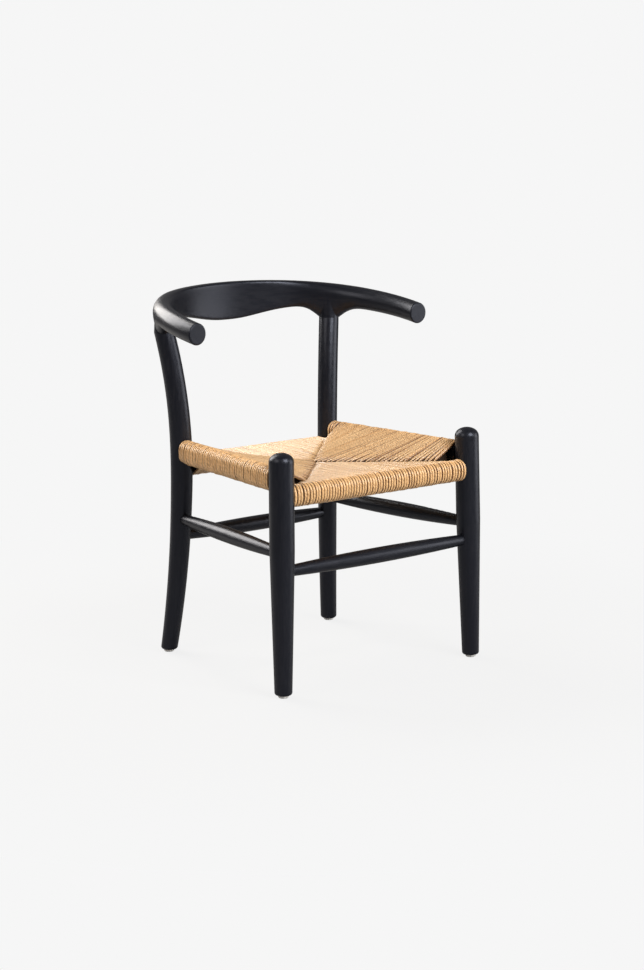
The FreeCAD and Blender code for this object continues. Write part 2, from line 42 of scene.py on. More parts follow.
# Black wood frame: four legs, four barrel stretchers, four seat rails, and the carved top rail that is
# back and arms in one. Close-grained hardwood, stained black under a satin lacquer. Stretchers and seat
# rails are glued into bores, and the top rail is dowelled onto the rear legs.
STAIN_BLACK = (0.0040, 0.0045, 0.0075)
STAIN_WORN = (0.0120, 0.0120, 0.0150)
LACQUER_SMOOTH = 0.31
LACQUER_DULL = 0.36
LACQUER_GLOSS = 0.44
LACQUER_TINT = (0.78, 0.83, 1.0)
PORE_LENGTH = 0.022
PORE_WIDTH = 0.0007
PORE_LIMITS = (0.58, 0.72)
PORE_HEIGHT = -0.7
FIGURE_LENGTH = 0.20
FIGURE_WIDTH = 0.016
GROWTH_RINGS = 9.0
HALF_RING = 0.5
GRAIN_STRENGTH = 0.05
GRAIN_RELIEF = 0.0004
RAIL_BEND_CENTRE = (0.0, 0.004, 0.0)
RAIL_BEND_RADIUS = 0.195
NODE_SPACING = 200


def add_node(tree, kind, **settings):
    """A node at the end of a tree's row of nodes, with some of its settings."""
    made = tree.nodes.new(kind)
    made.location.x = NODE_SPACING * len(tree.nodes)
    for key, value in settings.items():
        setattr(made, key, value)
    return made


def set_input(socket, value):
    """Links a socket to another node's output, or gives it a plain value."""
    if isinstance(value, bpy.types.NodeSocket):
        socket.id_data.links.new(value, socket)
    else:
        socket.default_value = value


def set_inputs(node, **values):
    """Sets a node's sockets by name, with underscores for spaces."""
    for key, value in values.items():
        set_input(node.inputs[key.replace("_", " ")], value)


def add_math(tree, kind, operation, values):
    """A math node with its values in order."""
    made = add_node(tree, kind, operation=operation)
    for socket, value in zip(made.inputs, values):
        set_input(socket, value)
    return made


def reckon(tree, operation, *values):
    """What a math node makes of some values."""
    return add_math(tree, "ShaderNodeMath", operation, values).outputs["Value"]


def reckon_vector(tree, operation, *values):
    """What a vector math node makes of some vectors."""
    return add_math(tree, "ShaderNodeVectorMath", operation, values).outputs["Vector"]


def vector_length(tree, vector):
    """The length of a vector."""
    return add_math(tree, "ShaderNodeVectorMath", "LENGTH", [vector]).outputs["Value"]


def map_range(tree, value, start, full, low=0.0, high=1.0, smooth=False):
    """A value between two limits, mapped onto another range."""
    curve = "SMOOTHSTEP" if smooth else "LINEAR"
    made = add_node(tree, "ShaderNodeMapRange", interpolation_type=curve)
    set_inputs(made, Value=value, From_Min=start, From_Max=full, To_Min=low, To_Max=high)
    return made.outputs["Result"]


def mix_colours(tree, share, first, second):
    """A colour part of the way from one to another."""
    made = add_node(tree, "ShaderNodeMix", data_type="RGBA")
    set_inputs(made, Factor=share, A=first, B=second)
    return made.outputs["Result"]


def stretched_noise(tree, vector, scale, **settings):
    """Noise with a scale of its own along each axis."""
    space = add_node(tree, "ShaderNodeMapping")
    set_inputs(space, Vector=vector, Scale=scale)
    noise = add_node(tree, "ShaderNodeTexNoise")
    set_inputs(noise, Vector=space.outputs["Vector"], Scale=1.0, **settings)
    return noise.outputs["Fac"]


def new_material(name, **values):
    """A material, its node tree and its shader, with plain values on some of the shader's sockets."""
    material = bpy.data.materials.new(name)
    material.use_nodes = True
    shader = material.node_tree.nodes["Principled BSDF"]
    set_inputs(shader, **values)
    return material, material.node_tree, shader


def add_relief(tree, shader, height, strength, distance):
    """Fine relief on a shader's surface."""
    bump = add_node(tree, "ShaderNodeBump")
    set_inputs(bump, Height=height, Strength=strength, Distance=distance)
    set_inputs(shader, Normal=bump.outputs["Normal"])


def grain_group():
    """Shader group: colour, roughness and relief of stained wood whose grain runs along Z."""
    tree = bpy.data.node_groups.new("stained_grain", "ShaderNodeTree")
    for name, way, kind in (
        ("Vector", "INPUT", "NodeSocketVector"),
        ("Base", "INPUT", "NodeSocketColor"),
        ("Streak", "INPUT", "NodeSocketColor"),
        ("Color", "OUTPUT", "NodeSocketColor"),
        ("Roughness", "OUTPUT", "NodeSocketFloat"),
        ("Height", "OUTPUT", "NodeSocketFloat"),
    ):
        tree.interface.new_socket(name, in_out=way, socket_type=kind)
    entry = add_node(tree, "NodeGroupInput").outputs
    leave = add_node(tree, "NodeGroupOutput")

    pore_scale = (1 / PORE_WIDTH, 1 / PORE_WIDTH, 1 / PORE_LENGTH)
    pores = stretched_noise(tree, entry["Vector"], pore_scale, Detail=2.0, Roughness=0.55)
    pore_mask = map_range(tree, pores, *PORE_LIMITS)

    figure_scale = (1 / FIGURE_WIDTH, 1 / FIGURE_WIDTH, 1 / FIGURE_LENGTH)
    figure = stretched_noise(
        tree, entry["Vector"], figure_scale, Detail=3.0, Roughness=0.6, Distortion=0.4
    )
    rings = reckon(tree, "MULTIPLY", figure, GROWTH_RINGS)
    ring_lines = reckon(tree, "PINGPONG", rings, HALF_RING)
    ring_mask = map_range(tree, ring_lines, 0.0, HALF_RING)

    streaks = reckon(tree, "MULTIPLY", ring_mask, figure)
    colour = mix_colours(tree, streaks, entry["Base"], entry["Streak"])
    roughness = map_range(tree, ring_mask, 0.0, 1.0, LACQUER_SMOOTH, LACQUER_DULL)
    height = reckon(tree, "MULTIPLY_ADD", pore_mask, PORE_HEIGHT, ring_mask)
    set_inputs(leave, Color=colour, Roughness=roughness, Height=height)
    return tree


def bent_grain_vector(tree, source):
    """Object coordinates bent round the rail's plan curve: across, up and along."""
    middle = reckon_vector(tree, "SUBTRACT", source, RAIL_BEND_CENTRE)
    parts = add_node(tree, "ShaderNodeSeparateXYZ")
    set_inputs(parts, Vector=middle)
    flat = reckon_vector(tree, "MULTIPLY", middle, (1, 1, 0))
    angle = reckon(tree, "ARCTAN2", parts.outputs["X"], parts.outputs["Y"])
    along = reckon(tree, "MULTIPLY", angle, RAIL_BEND_RADIUS)
    bent = add_node(tree, "ShaderNodeCombineXYZ")
    set_inputs(bent, X=vector_length(tree, flat), Y=parts.outputs["Z"], Z=along)
    return bent.outputs["Vector"]


GRAIN = grain_group()


def wood_material(name, base, streak, turn=(0, 0, 0), bent=False):
    """Wood with its grain turned from Z by three angles in degrees, or bent round the top rail."""
    tint = (*LACQUER_TINT, 1)
    material, tree, shader = new_material(name, Specular_IOR_Level=LACQUER_GLOSS, Specular_Tint=tint)
    source = add_node(tree, "ShaderNodeTexCoord").outputs["Object"]
    if bent:
        source = bent_grain_vector(tree, source)
    turned = add_node(tree, "ShaderNodeMapping")
    set_inputs(turned, Vector=source, Rotation=[math.radians(angle) for angle in turn])
    grain = add_node(tree, "ShaderNodeGroup", node_tree=GRAIN)
    set_inputs(grain, Vector=turned.outputs["Vector"], Base=(*base, 1), Streak=(*streak, 1))
    set_inputs(shader, Base_Color=grain.outputs["Color"], Roughness=grain.outputs["Roughness"])
    add_relief(tree, shader, grain.outputs["Height"], GRAIN_STRENGTH, GRAIN_RELIEF)
    return material


def dress(node, material):
    """Gives a solid its finish."""
    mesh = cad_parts[node].data
    mesh.materials.clear()
    mesh.materials.append(material)


upright_wood = wood_material("black_wood_upright", STAIN_BLACK, STAIN_WORN)
crosswise_wood = wood_material("black_wood_crosswise", STAIN_BLACK, STAIN_WORN, turn=(0, 90, 0))
lengthwise_wood = wood_material("black_wood_lengthwise", STAIN_BLACK, STAIN_WORN, turn=(90, 0, 0))
bent_wood = wood_material("black_wood_bent", STAIN_BLACK, STAIN_WORN, bent=True)
for side in ("left", "right"):
    dress(f"front_leg_{side}", upright_wood)
    dress(f"rear_leg_{side}", upright_wood)
    dress(f"stretcher_{side}", lengthwise_wood)
    dress(f"seat_rail_{side}", lengthwise_wood)
for end in ("front", "rear"):
    dress(f"stretcher_{end}", crosswise_wood)
    dress(f"seat_rail_{end}", crosswise_wood)
dress("top_rail", bent_wood)

# Hidden dowels: two round pegs of bare hardwood between the rear legs and the top rail. Half of each
# peg is glued into its leg and half into the rail, so that nothing of it shows.
BARE_WOOD = (0.42, 0.28, 0.16)
BARE_STREAK = (0.30, 0.18, 0.09)
bare_upright = wood_material("bare_wood_upright", BARE_WOOD, BARE_STREAK)
for side in ("left", "right"):
    dress(f"rail_dowel_{side}", bare_upright)

# Woven seat: one long cord of twisted brown paper, wound over the four seat rails in turn, so that it
# lies in four panels that meet in mitred seams. Each strand leaves a seam, runs to its rail, goes round
# the rail's outside and comes back underneath; at all but one seam the side strands lie on top.
CORD_DIAMETER = 0.0047
RAIL_DEPTH = 0.0174
LOW_RAIL_THICKNESS = 0.0232
HIGH_RAIL_THICKNESS = 0.0262
LOW_RAIL_HEIGHT = 0.2796
HIGH_RAIL_HEIGHT = 0.3020
FRONT_RAIL_Y = -0.17217
REAR_RAIL_Y = 0.1083
SIDE_RAIL_FRONT = (0.17054, -0.17156)
SIDE_RAIL_REAR = (0.13716, 0.10846)

# where the strands of two panels meet: the seams' outer ends, their middle and how the layers lie there
FRONT_SEAM_LEFT = (0.1160, -0.1532, 0.2935)
FRONT_SEAM_RIGHT = (0.1284, -0.1532, 0.2935)
REAR_SEAM = (0.1090, 0.0783, 0.2955)
SEAM_MIDDLE = (0.0, -0.0319, 0.2910)
SEAM_THICKNESS = 0.015
SEAM_LAP = 0.0018
REAR_LEFT_LAP = -0.0010
SEAM_SLIT = 0.0011

# the last strands beside the legs, and the turns at the rear ends of the side rails
FRONT_WRAP_REACH = 0.1545
FRONT_WRAP_TIP = (-0.1597, 0.2850)
LEG_HUG = 0.0035
REAR_WRAP_REACH = 0.1215
COIL_START = 0.0800
COIL_END = 0.0955

# points of a guide strand, with how far past its tip and how deep each end dives into the seam
ARC_STEPS = 6
RUN_STEPS = 7
DIVE = ((0.0017, -0.0060), (0.0010, -0.0018))
FRONT_GUIDES = 13
REAR_GUIDES = 21
SIDE_GUIDES = 22


def between(first, second, share):
    """A value part of the way from one to another."""
    return first + (second - first) * share


def touch_angle(tip, centre, radius, turn):
    """Angle on a circle at which a straight line from a tip touches it."""
    away = (tip[0] - centre[0], tip[1] - centre[1])
    return math.atan2(away[1], away[0]) + turn * math.acos(radius / math.hypot(*away))


def hairpin(rail, thickness, tip, seam_top, lap=0.0):
    """A strand's centre line as pairs (across, height): top run, round the rail, bottom run."""
    radius = RAIL_DEPTH / 2 + CORD_DIAMETER / 2
    straight = (thickness - RAIL_DEPTH) / 2
    inward = math.copysign(1, tip - rail[0])
    outer = math.pi if inward > 0 else 0.0
    top_end = (tip, seam_top - CORD_DIAMETER / 2 + lap)
    low_end = (tip, seam_top - SEAM_THICKNESS + CORD_DIAMETER / 2 - lap)
    points = []
    for end, layer in ((top_end, 1), (low_end, -1)):
        centre = (rail[0], rail[1] + layer * straight)
        start = touch_angle(end, centre, radius, inward * layer)
        sweep = (outer - start + math.pi) % (2 * math.pi) - math.pi
        arc = []
        for step in range(ARC_STEPS + 1):
            angle = start + sweep * step / ARC_STEPS
            arc.append((centre[0] + radius * math.cos(angle), centre[1] + radius * math.sin(angle)))
        run = []
        for step in range(RUN_STEPS):
            share = step / RUN_STEPS
            run.append((between(end[0], arc[0][0], share), between(end[1], arc[0][1], share)))
        dive = [(end[0] + inward * reach, end[1] + layer * drop) for reach, drop in DIVE]
        half = dive + run + arc
        points += half if layer > 0 else half[::-1]
    return points


def cross_guide(x, rail_y, tip, seam_top):
    """A strand of the front or rear panel, which lies in the upright plane at x."""
    line = hairpin((rail_y, LOW_RAIL_HEIGHT), LOW_RAIL_THICKNESS, tip, seam_top)
    return [Vector((x, y, z)) for y, z in line]


def cross_seam(x, corner):
    """Where a front or rear strand at x ends: its y and the height of the seam."""
    share = max(0.0, 1 - abs(x) / corner[0])
    slit = math.copysign(SEAM_SLIT, corner[1])
    return between(corner[1], SEAM_MIDDLE[1], share) + slit, between(corner[2], SEAM_MIDDLE[2], share)


def front_guides():
    """Evenly spaced strands of the front panel; the two beside the legs lean out and dip down inside."""
    guides = []
    for number in range(FRONT_GUIDES):
        x = between(-FRONT_WRAP_REACH, FRONT_WRAP_REACH, number / (FRONT_GUIDES - 1))
        corner = FRONT_SEAM_LEFT if x < 0 else FRONT_SEAM_RIGHT
        guides.append(cross_guide(x, FRONT_RAIL_Y, *cross_seam(x, corner)))
    for number, sign in ((0, -1), (-1, 1)):
        guides[number] = cross_guide(sign * FRONT_WRAP_REACH, FRONT_RAIL_Y, *FRONT_WRAP_TIP)
        for point in guides[number]:
            outside = (FRONT_RAIL_Y - point.y) / (RAIL_DEPTH / 2)
            point.x += sign * LEG_HUG * min(max(outside, 0.0), 1.0)
    return guides


def rear_guides():
    """Evenly spaced strands of the rear panel, which goes on under the side panels to the legs."""
    guides = []
    for number in range(REAR_GUIDES):
        x = between(-REAR_WRAP_REACH, REAR_WRAP_REACH, number / (REAR_GUIDES - 1))
        guides.append(cross_guide(x, REAR_RAIL_Y, *cross_seam(x, REAR_SEAM)))
    return guides


def side_rail_x(y):
    """Distance of a side rail's axis from the middle of the chair."""
    share = (y - SIDE_RAIL_FRONT[1]) / (SIDE_RAIL_REAR[1] - SIDE_RAIL_FRONT[1])
    return between(SIDE_RAIL_FRONT[0], SIDE_RAIL_REAR[0], share)


def side_guides(sign):
    """Evenly spaced strands of a side panel."""
    front_corner = FRONT_SEAM_LEFT if sign < 0 else FRONT_SEAM_RIGHT
    guides = []
    for number in range(SIDE_GUIDES):
        y = between(front_corner[1], REAR_SEAM[1], number / (SIDE_GUIDES - 1))
        corner = front_corner if y < SEAM_MIDDLE[1] else REAR_SEAM
        lap = REAR_LEFT_LAP if sign < 0 and corner is REAR_SEAM else SEAM_LAP
        share = (y - SEAM_MIDDLE[1]) / (corner[1] - SEAM_MIDDLE[1])
        rail = (side_rail_x(y), HIGH_RAIL_HEIGHT)
        seam_top = between(SEAM_MIDDLE[2], corner[2], share)
        line = hairpin(rail, HIGH_RAIL_THICKNESS, corner[0] * share, seam_top, lap)
        guides.append([Vector((sign * across, y, z)) for across, z in line])
    return guides


def coil_guides(sign):
    """First and last of the turns at the rear end of a side rail, which go round the rail alone."""
    radius = (RAIL_DEPTH + CORD_DIAMETER) / 2
    straight = (HIGH_RAIL_THICKNESS - RAIL_DEPTH) / 2
    steps = 4 * ARC_STEPS
    guides = []
    for y in (COIL_START, COIL_END):
        guide = []
        for step in range(steps):
            angle = 2 * math.pi * step / (steps - 1) - math.pi / 2
            across = side_rail_x(y) + radius * math.cos(angle)
            lift = math.copysign(straight, math.sin(angle))
            guide.append(Vector((sign * across, y, HIGH_RAIL_HEIGHT + lift + radius * math.sin(angle))))
        guides.append(guide)
    return guides


# how the strands are laid: each wanders a little, most near the seams and where it goes round a rail
FRONT_STRANDS = 64
REAR_STRANDS = 50
SIDE_STRANDS = 48
COIL_STRANDS = 3
FRONT_SEED = 7
REAR_SEED = 8
SIDE_SEED = 20
COIL_SEED = 30
CORD_SIDES = 10
CORD_LOOSENESS = 0.0009
WANDER_SCALE = 32.0
WANDER_STEP = 1.7
END_SLACK = 3.4
END_SHARES = (0.06, 0.18)
WRAP_SLACK = 1.9
WRAP_SHARES = (0.24, 0.32)
STRAND_THINNEST = 0.95
STRAND_THICKEST = 1.06
SEAM_SLIMNESS = 0.44
SLIM_LENGTHS = (0.004, 0.015)


def store(tree, geometry, name, value, kind="FLOAT", domain="POINT"):
    """A geometry with one more named attribute."""
    made = add_node(tree, "GeometryNodeStoreNamedAttribute", data_type=kind, domain=domain)
    set_inputs(made, Geometry=geometry, Name=name, Value=value)
    return made.outputs["Geometry"]


def straight_strands(tree, entry):
    """Straight strands with as many points as a guide: their geometry and the number of each."""
    line = add_node(tree, "GeometryNodeCurvePrimitiveLine")
    dotted = add_node(tree, "GeometryNodeResampleCurve")
    set_inputs(dotted, Curve=line.outputs["Curve"], Count=entry["Guide Points"])
    repeat = add_node(tree, "GeometryNodeDuplicateElements", domain="SPLINE")
    set_inputs(repeat, Geometry=dotted.outputs["Curve"], Amount=entry["Strands"])
    return repeat.outputs["Geometry"], repeat.outputs["Duplicate Index"]


def place_between_guides(tree, entry, number, point):
    """Where a point of a strand lies between its strand's two nearest guides."""
    share = reckon(tree, "DIVIDE", reckon(tree, "ADD", number, 0.5), entry["Strands"])
    spans = reckon(tree, "SUBTRACT", entry["Guide Count"], 1.0)
    travel = reckon(tree, "MULTIPLY", share, spans)
    guide_before = reckon(tree, "FLOOR", travel)
    first = reckon(tree, "MULTIPLY_ADD", guide_before, entry["Guide Points"], point)
    second = reckon(tree, "ADD", first, entry["Guide Points"])
    place = add_node(tree, "GeometryNodeInputPosition").outputs["Position"]
    blended = add_node(tree, "ShaderNodeMix", data_type="VECTOR")
    set_inputs(blended, Factor=reckon(tree, "SUBTRACT", travel, guide_before))
    for socket, index in (("A", first), ("B", second)):
        sample = add_node(tree, "GeometryNodeSampleIndex", data_type="FLOAT_VECTOR", domain="POINT")
        set_inputs(sample, Geometry=entry["Guides"], Value=place, Index=index)
        set_input(blended.inputs[socket], sample.outputs["Value"])
    return blended.outputs["Result"]


def hand_laid_offset(tree, entry, number, place, end_share, bend):
    """Small unevenness of the cord, different for each strand."""
    lane = reckon(tree, "MULTIPLY_ADD", number, WANDER_STEP, entry["Seed"])
    wander = add_node(tree, "ShaderNodeTexNoise", noise_dimensions="4D")
    set_inputs(wander, Vector=place, W=lane, Scale=WANDER_SCALE, Detail=0.5)
    centred = reckon_vector(tree, "SUBTRACT", wander.outputs["Color"], (0.5, 0.5, 0.5))
    loose_end = map_range(tree, end_share, *END_SHARES, END_SLACK, 1.0)
    loose_wrap = reckon(tree, "MULTIPLY", bend, WRAP_SLACK)
    looser = reckon(tree, "MAXIMUM", loose_end, loose_wrap)
    uneven = add_node(tree, "ShaderNodeVectorMath", operation="SCALE")
    set_inputs(uneven, Vector=centred, Scale=reckon(tree, "MULTIPLY", looser, entry["Looseness"]))
    return uneven.outputs["Vector"]


def cord_section(tree, entry):
    """The round outline that is swept along the strands, which stores the direction of each point."""
    ring = add_node(tree, "GeometryNodeCurvePrimitiveCircle", mode="RADIUS")
    radius = reckon(tree, "DIVIDE", entry["Cord Diameter"], 2.0)
    set_inputs(ring, Radius=radius, Resolution=entry["Cord Sides"])
    place = add_node(tree, "GeometryNodeInputPosition").outputs["Position"]
    facing = reckon_vector(tree, "NORMALIZE", place)
    return store(tree, ring.outputs["Curve"], "cord_round", facing, kind="FLOAT_VECTOR")


def cord_swell(tree, entry, travel):
    """Thickness of a strand, a little different for each and slim where it dives into a seam."""
    strand = add_node(tree, "GeometryNodeInputNamedAttribute", data_type="INT")
    set_inputs(strand, Name="strand_number")
    thick = add_node(tree, "FunctionNodeRandomValue", data_type="FLOAT")
    set_inputs(thick, Min=STRAND_THINNEST, Max=STRAND_THICKEST)
    set_inputs(thick, ID=strand.outputs["Attribute"], Seed=entry["Seed"])
    whole = add_node(tree, "GeometryNodeSplineLength").outputs["Length"]
    nearest = reckon(tree, "MINIMUM", travel, reckon(tree, "SUBTRACT", whole, travel))
    slim = map_range(tree, nearest, *SLIM_LENGTHS, SEAM_SLIMNESS, 1.0, smooth=True)
    return reckon(tree, "MULTIPLY", thick.outputs["Value"], slim)


def winding_tree():
    """Geometry nodes: repeats a strand between guide strands and sweeps the cord along each."""
    tree = bpy.data.node_groups.new("cord_winding", "GeometryNodeTree")
    sockets = {}
    for name, kind in (
        ("Guides", "NodeSocketGeometry"),
        ("Strands", "NodeSocketInt"),
        ("Guide Count", "NodeSocketInt"),
        ("Guide Points", "NodeSocketInt"),
        ("Cord Diameter", "NodeSocketFloat"),
        ("Cord Sides", "NodeSocketInt"),
        ("Looseness", "NodeSocketFloat"),
        ("Seed", "NodeSocketInt"),
        ("Cord", "NodeSocketMaterial"),
    ):
        sockets[name] = tree.interface.new_socket(name, in_out="INPUT", socket_type=kind).identifier
    tree.interface.new_socket("Winding", in_out="OUTPUT", socket_type="NodeSocketGeometry")
    entry = add_node(tree, "NodeGroupInput").outputs
    leave = add_node(tree, "NodeGroupOutput")

    # the strands are laid between the guides; cord_bend is 1 where a strand goes round its rail
    strands, number = straight_strands(tree, entry)
    spot = add_node(tree, "GeometryNodeSplineParameter").outputs
    end_share = reckon(tree, "MINIMUM", spot["Factor"], reckon(tree, "SUBTRACT", 1.0, spot["Factor"]))
    bend = map_range(tree, end_share, *WRAP_SHARES)
    place = place_between_guides(tree, entry, number, spot["Index"])
    laid = add_node(tree, "GeometryNodeSetPosition")
    set_inputs(laid, Geometry=store(tree, strands, "cord_bend", bend), Position=place)
    set_inputs(laid, Offset=hand_laid_offset(tree, entry, number, place, end_share, bend))

    # what the cord's material reads: shade of the strand and distance along it
    index = add_node(tree, "GeometryNodeInputIndex").outputs["Index"]
    chance = add_node(tree, "FunctionNodeRandomValue", data_type="FLOAT")
    set_inputs(chance, ID=index, Seed=entry["Seed"])
    travel = add_node(tree, "GeometryNodeSplineParameter").outputs["Length"]
    strands = store(tree, laid.outputs["Geometry"], "strand_number", index, kind="INT", domain="CURVE")
    strands = store(tree, strands, "cord_shade", chance.outputs["Value"], domain="CURVE")
    strands = store(tree, strands, "cord_along", travel)

    tube = add_node(tree, "GeometryNodeCurveToMesh")
    set_inputs(tube, Curve=strands, Profile_Curve=cord_section(tree, entry), Fill_Caps=True)
    set_inputs(tube, Scale=cord_swell(tree, entry, travel))
    smooth = add_node(tree, "GeometryNodeSetShadeSmooth")
    set_inputs(smooth, Geometry=tube.outputs["Mesh"])
    real = add_node(tree, "GeometryNodeRealizeInstances")
    set_inputs(real, Geometry=smooth.outputs["Geometry"])
    finish = add_node(tree, "GeometryNodeSetMaterial")
    set_inputs(finish, Geometry=real.outputs["Geometry"], Material=entry["Cord"])
    set_inputs(leave, Winding=finish.outputs["Geometry"])
    return tree, sockets


# the paper: a painted highlight makes it warmer where it goes round a rail; painted shade between
# strands and plies; darker flecks
CORD_PALE = (0.87, 0.605, 0.32)
CORD_DEEP = (0.61, 0.335, 0.135)
CORD_WRAP_HIGHLIGHT = (1.0, 0.60, 0.262)
SHADE_AND_FLECK_BROWN = (0.17, 0.066, 0.023)
CORD_ROUGHNESS = 0.32
CORD_GLOSS = 0.75
CORD_SHEEN = 0.12
CORD_SHEEN_SPREAD = 0.4
CORD_STRENGTH = 0.18
CORD_RELIEF = 0.0006
TWIST_PITCH = 0.016
TWIST_SHIFT = 40.0
PLIES = 3
FIBRE_SCALE = (90.0, 1.4, 60.0)
FIBRE_RELIEF = 0.25
FIBRE_SHARE = 0.5
SHADE_SHARE = 0.55
WRAP_HIGHLIGHT_SHARE = 0.68
GROOVE_SHADE_LIMITS = (0.70, 0.98)
GROOVE_SHADE_DARKNESS = 0.97
GROOVE_SHADE_SPREAD = 1.18
PLY_SHADE_LIMITS = (0.25, 0.0)
PLY_SHADE_DARKNESS = 0.30
FLECK_SCALE = (300.0, 1.0, 45.0)
FLECK_LIMITS = (0.55, 0.68)
FLECK_DARKNESS = 0.50


def cord_attribute(tree, name, output="Fac"):
    """What the winding stored on the strands under a name."""
    return add_node(tree, "ShaderNodeAttribute", attribute_name=name).outputs[output]


def cord_material():
    """Twisted kraft paper: a shade for each strand, fibre streaks, twisted plies as relief, and painted
    shade and highlight.
    """
    material, tree, shader = new_material("paper_cord", Roughness=CORD_ROUGHNESS)
    set_inputs(shader, Specular_IOR_Level=CORD_GLOSS)
    set_inputs(shader, Sheen_Weight=CORD_SHEEN, Sheen_Roughness=CORD_SHEEN_SPREAD)
    shade = cord_attribute(tree, "cord_shade")
    along = cord_attribute(tree, "cord_along")
    bend = cord_attribute(tree, "cord_bend")
    parts = add_node(tree, "ShaderNodeSeparateXYZ")
    set_inputs(parts, Vector=cord_attribute(tree, "cord_round", "Vector"))

    # the plies wind round each other, and each strand starts at another point of the twist
    angle = reckon(tree, "ARCTAN2", parts.outputs["Y"], parts.outputs["X"])
    turns = reckon(tree, "MULTIPLY", along, 2 * math.pi / TWIST_PITCH)
    shifted = reckon(tree, "MULTIPLY_ADD", shade, TWIST_SHIFT, turns)
    helix = reckon(tree, "ADD", shifted, angle)
    wave = reckon(tree, "SINE", reckon(tree, "MULTIPLY", helix, PLIES))
    ply = map_range(tree, wave, -1.0, 1.0)
    spot = add_node(tree, "ShaderNodeCombineXYZ")
    set_inputs(spot, X=shade, Y=helix, Z=along)
    fibre = stretched_noise(tree, spot.outputs["Vector"], FIBRE_SCALE, Detail=3.0, Roughness=0.6)

    streaks = reckon(tree, "MULTIPLY", fibre, FIBRE_SHARE)
    depth = reckon(tree, "MULTIPLY_ADD", shade, SHADE_SHARE, streaks)
    hue = mix_colours(tree, depth, (*CORD_PALE, 1), (*CORD_DEEP, 1))
    # painted highlight: the wraps round the rails get a warmer, brighter colour for the light they catch
    wrap_lit = mix_colours(tree, reckon(tree, "MULTIPLY", bend, WRAP_HIGHLIGHT_SHARE), hue, (*CORD_WRAP_HIGHLIGHT, 1))

    # painted shade where strands press together and in the lines between the plies; darker flecks in the
    # paper itself
    flank = reckon(tree, "ABSOLUTE", parts.outputs["X"])
    spread = map_range(tree, bend, 0.0, 1.0, 1.0, GROOVE_SHADE_SPREAD)
    opened = reckon(tree, "MULTIPLY", flank, spread)
    groove_shade = map_range(tree, opened, *GROOVE_SHADE_LIMITS, high=GROOVE_SHADE_DARKNESS, smooth=True)
    line = map_range(tree, ply, *PLY_SHADE_LIMITS, high=PLY_SHADE_DARKNESS, smooth=True)
    flecks = stretched_noise(tree, spot.outputs["Vector"], FLECK_SCALE, Detail=1.0)
    fleck = map_range(tree, flecks, *FLECK_LIMITS, high=FLECK_DARKNESS, smooth=True)
    dark = reckon(tree, "MAXIMUM", groove_shade, reckon(tree, "MAXIMUM", line, fleck))
    set_inputs(shader, Base_Color=mix_colours(tree, dark, wrap_lit, (*SHADE_AND_FLECK_BROWN, 1)))

    relief = reckon(tree, "MULTIPLY_ADD", fibre, FIBRE_RELIEF, ply)
    add_relief(tree, shader, relief, CORD_STRENGTH, CORD_RELIEF)
    return material


def add_seat_piece(name, mesh):
    """A piece that, with others, stands for the woven seat."""
    piece = bpy.data.objects.new(name, mesh)
    bpy.context.scene.collection.objects.link(piece)
    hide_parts("woven_seat")
    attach(piece, "root")


PAPER_CORD = cord_material()
WINDING, WINDING_SOCKETS = winding_tree()


def wind_panel(name, guides, strands, seed):
    """One group of strands, wound by the tree and kept as a plain mesh."""
    paths = bpy.data.curves.new(f"{name}_guides", "CURVE")
    paths.dimensions = "3D"
    for guide in guides:
        spline = paths.splines.new("POLY")
        spline.points.add(len(guide) - 1)
        for point, place in zip(spline.points, guide):
            point.co = (*place, 1)
    carrier = bpy.data.objects.new(f"{name}_guides", paths)
    bpy.context.scene.collection.objects.link(carrier)
    modifier = carrier.modifiers.new("winding", "NODES")
    modifier.node_group = WINDING
    for socket, value in (
        ("Strands", strands),
        ("Guide Count", len(guides)),
        ("Guide Points", len(guides[0])),
        ("Cord Diameter", CORD_DIAMETER),
        ("Cord Sides", CORD_SIDES),
        ("Looseness", CORD_LOOSENESS),
        ("Seed", seed),
        ("Cord", PAPER_CORD),
    ):
        modifier[WINDING_SOCKETS[socket]] = value
    bpy.context.view_layer.update()
    evaluated = carrier.evaluated_get(bpy.context.evaluated_depsgraph_get())
    mesh = bpy.data.meshes.new_from_object(evaluated)
    bpy.data.objects.remove(carrier)
    add_seat_piece(name, mesh)


wind_panel("seat_front_cord", front_guides(), FRONT_STRANDS, FRONT_SEED)
wind_panel("seat_rear_cord", rear_guides(), REAR_STRANDS, REAR_SEED)
for side, sign in (("left", -1), ("right", 1)):
    wind_panel(f"seat_{side}_cord", side_guides(sign), SIDE_STRANDS, SIDE_SEED + sign)
    wind_panel(f"seat_{side}_coil", coil_guides(sign), COIL_STRANDS, COIL_SEED + sign)

# Packing inside the seat: folded brown card pushed between the upper and lower strands, so that the
# panels stay full. It is coloured nearly black as painted shade, and shows only as darkness in the slits
# along the seams.
PACKING_SHADE_BROWN = (0.050, 0.026, 0.013)
PACKING_SHADE_DARK = (0.022, 0.012, 0.006)
PACKING_ROUGHNESS = 0.9
PACKING_MOTTLE = 400.0
PACKING_DEPTH = 0.0012
PACKING_RAIL_GAP = 0.0095
PACKING_SHORTEST = 0.05
PACKING_CORNERS = 4
FIRST_RUN_POINT = len(DIVE)


def packing_ring(guide):
    """Four corners of the packing under one strand: seam end, rail end, above and below."""
    ring = []
    for strand, drop in ((guide, -PACKING_DEPTH), (guide[::-1], PACKING_DEPTH)):
        tip = strand[FIRST_RUN_POINT]
        touch = strand[FIRST_RUN_POINT + RUN_STEPS]
        near = max(PACKING_SHORTEST, 1 - PACKING_RAIL_GAP / (touch - tip).length)
        pair = [tip + Vector((0, 0, drop)), tip.lerp(touch, near) + Vector((0, 0, drop))]
        ring += pair if drop < 0 else pair[::-1]
    return ring


